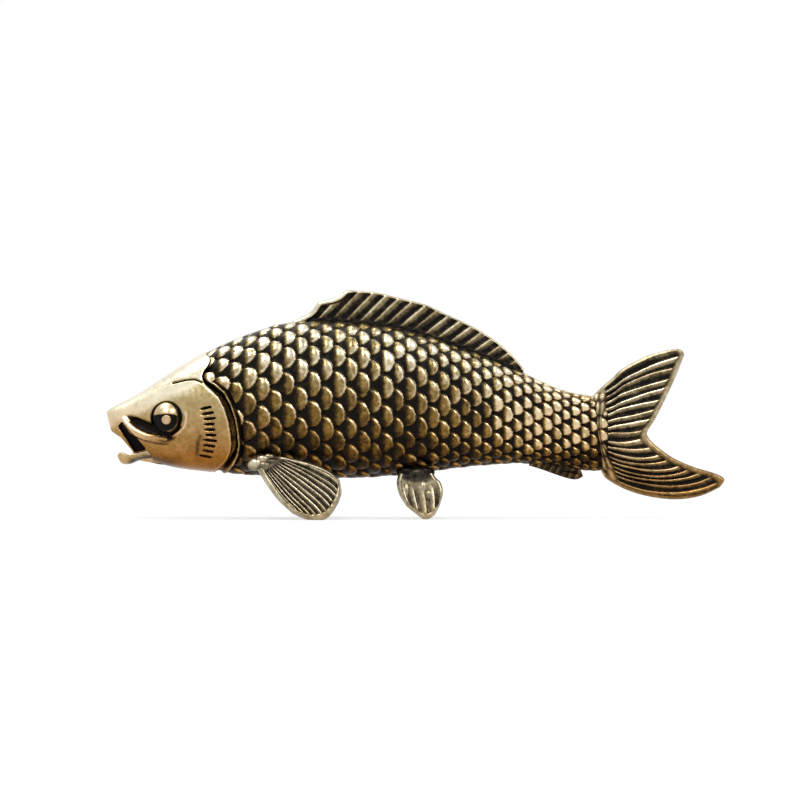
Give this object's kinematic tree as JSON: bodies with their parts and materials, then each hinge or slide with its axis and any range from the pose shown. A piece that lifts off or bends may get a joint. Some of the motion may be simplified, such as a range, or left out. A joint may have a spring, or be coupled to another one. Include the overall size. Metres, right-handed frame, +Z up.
{
  "type": "fish figurine",
  "caption": "Solid antique brass carp ornament with a shingled scale coat, rayed fins and a forked tail, standing on its paired fins.",
  "frame": {"origin": "on the table, under the middle of the fish's length and width", "axes": "+X towards the tail, +Y towards the fish's right side, +Z up"},
  "size_m": [0.06, 0.0148, 0.0222],
  "materials": {
    "antique_brass": "rubbed antique patina, dark in the recesses",
    "polished_brass": "polished"
  },
  "bodies": {
    "root": {"trunk": "antique_brass", "head": "antique_brass", "lower_jaw": "antique_brass", "left_eye": "polished_brass", "right_eye": "polished_brass", "dorsal_fin": "antique_brass", "anal_fin": "antique_brass", "tail_fin": "antique_brass", "left_pectoral_fin": "antique_brass", "right_pectoral_fin": "antique_brass", "left_pelvic_fin": "antique_brass", "right_pelvic_fin": "antique_brass"}
  },
  "joints": []
}
